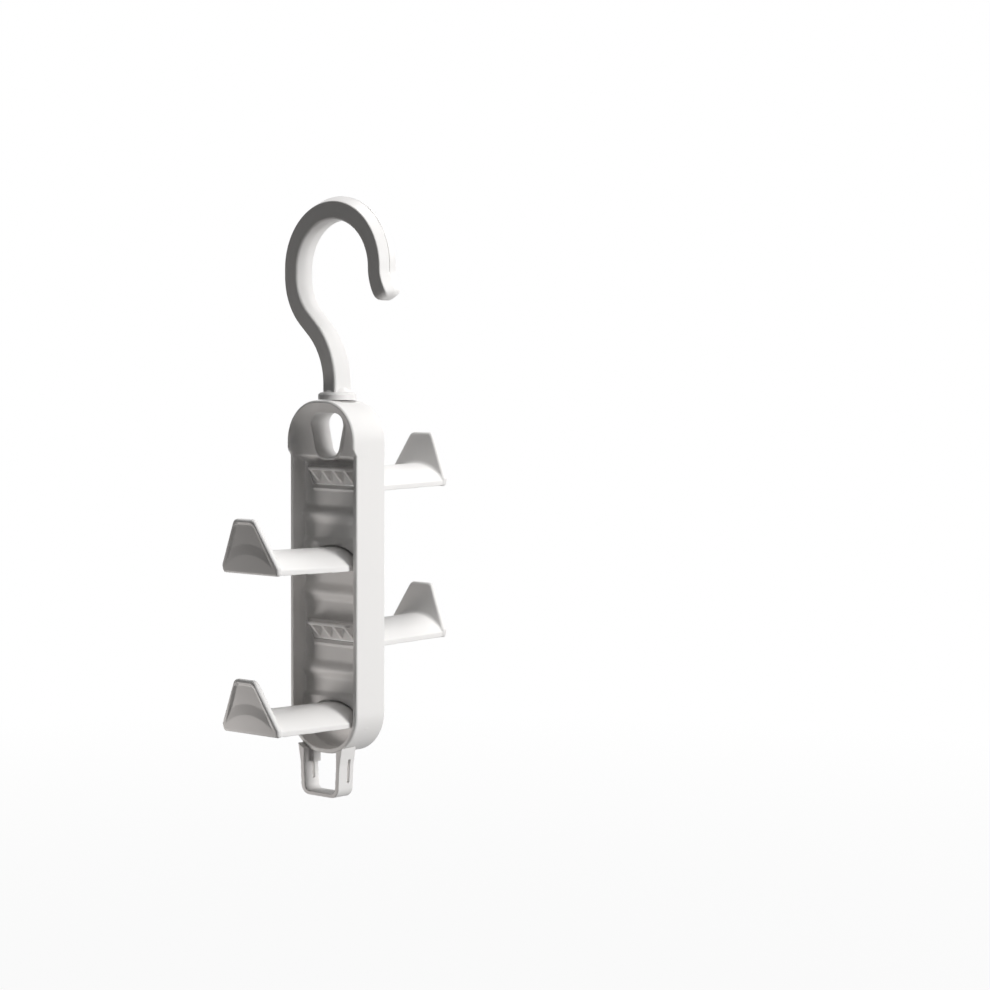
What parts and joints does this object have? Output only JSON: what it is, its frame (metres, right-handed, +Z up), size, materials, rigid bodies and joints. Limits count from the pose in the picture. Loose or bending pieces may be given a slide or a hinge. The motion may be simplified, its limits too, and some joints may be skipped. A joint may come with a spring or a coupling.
{
  "type": "closet hanging hook",
  "caption": "Closet rod hanger with a swivelling crook, a long webbed frame, arched lift-off arms with upturned lips on both sides, and a link loop below.",
  "frame": {"origin": "the rod's seat: the inside of the crook's crown, on the swivel axis", "axes": "+Z up along the swivel axis, +X across the frame towards the crook's open side, -Y out of the front"},
  "size_m": [0.0655, 0.114, 0.2649],
  "materials": {
    "white_plastic": "satin",
    "screw_steel": "plain",
    "washer_nylon": "matte"
  },
  "bodies": {
    "hook": {"hook": "white_plastic", "swivel_screw": "screw_steel", "thrust_washer": "washer_nylon"},
    "frame": {"main_frame": "white_plastic", "link_loop": "white_plastic"},
    "front_lower_arm": {"front_lower_arm": "white_plastic"},
    "back_lower_arm": {"back_lower_arm": "white_plastic"},
    "front_upper_arm": {"front_upper_arm": "white_plastic"},
    "back_upper_arm": {"back_upper_arm": "white_plastic"}
  },
  "joints": [
    {"name": "hook_swivel", "type": "hinge", "parent": "hook", "child": "frame", "pos_m": [0, 0, -0.0788], "axis": [0, 0, 1], "continuous": true},
    {"name": "front_lower_arm_lift", "type": "hinge", "parent": "frame", "child": "front_lower_arm", "pos_m": [0, 0, -0.2117], "axis": [-1, 0, 0], "range_deg": [0, 10]},
    {"name": "back_lower_arm_lift", "type": "hinge", "parent": "frame", "child": "back_lower_arm", "pos_m": [0, 0, -0.1772], "axis": [1, 0, 0], "range_deg": [0, 10]},
    {"name": "front_upper_arm_lift", "type": "hinge", "parent": "frame", "child": "front_upper_arm", "pos_m": [0, 0, -0.1427], "axis": [-1, 0, 0], "range_deg": [0, 10]},
    {"name": "back_upper_arm_lift", "type": "hinge", "parent": "frame", "child": "back_upper_arm", "pos_m": [0, 0, -0.1082], "axis": [1, 0, 0], "range_deg": [0, 10]}
  ]
}
